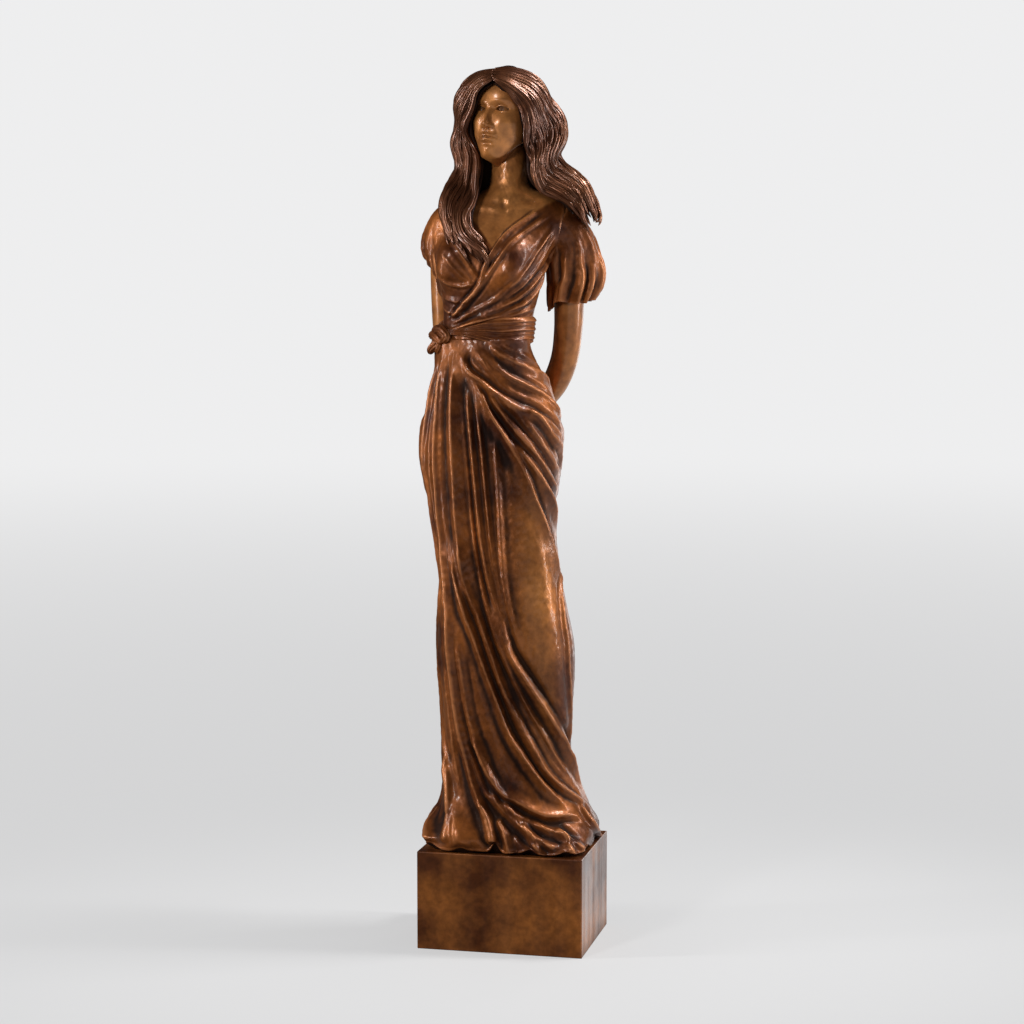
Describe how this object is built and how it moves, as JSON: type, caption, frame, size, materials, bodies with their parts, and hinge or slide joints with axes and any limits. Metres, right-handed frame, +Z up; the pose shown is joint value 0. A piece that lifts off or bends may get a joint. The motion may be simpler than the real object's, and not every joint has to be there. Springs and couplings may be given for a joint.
{
  "type": "statue",
  "caption": "Cast bronze statue of a standing woman in a draped wrap dress, hands clasped behind, on its rectangular bronze plinth.",
  "frame": {"origin": "middle of the plinth's underside, on the floor", "axes": "+Z up; the plinth's front faces -Y, and the figure stands facing the same way with the face turned a little towards -X"},
  "size_m": [0.4394, 0.3755, 2.0368],
  "materials": {
    "figure_bronze": "cast bronze, warm brown patina, waxed, bright on the crests of the folds and dark in the hollows",
    "plinth_bronze": "flat cast bronze, mottled orange-brown patina, waxed"
  },
  "bodies": {
    "root": {"figure": "figure_bronze", "plinth": "plinth_bronze"}
  },
  "joints": []
}
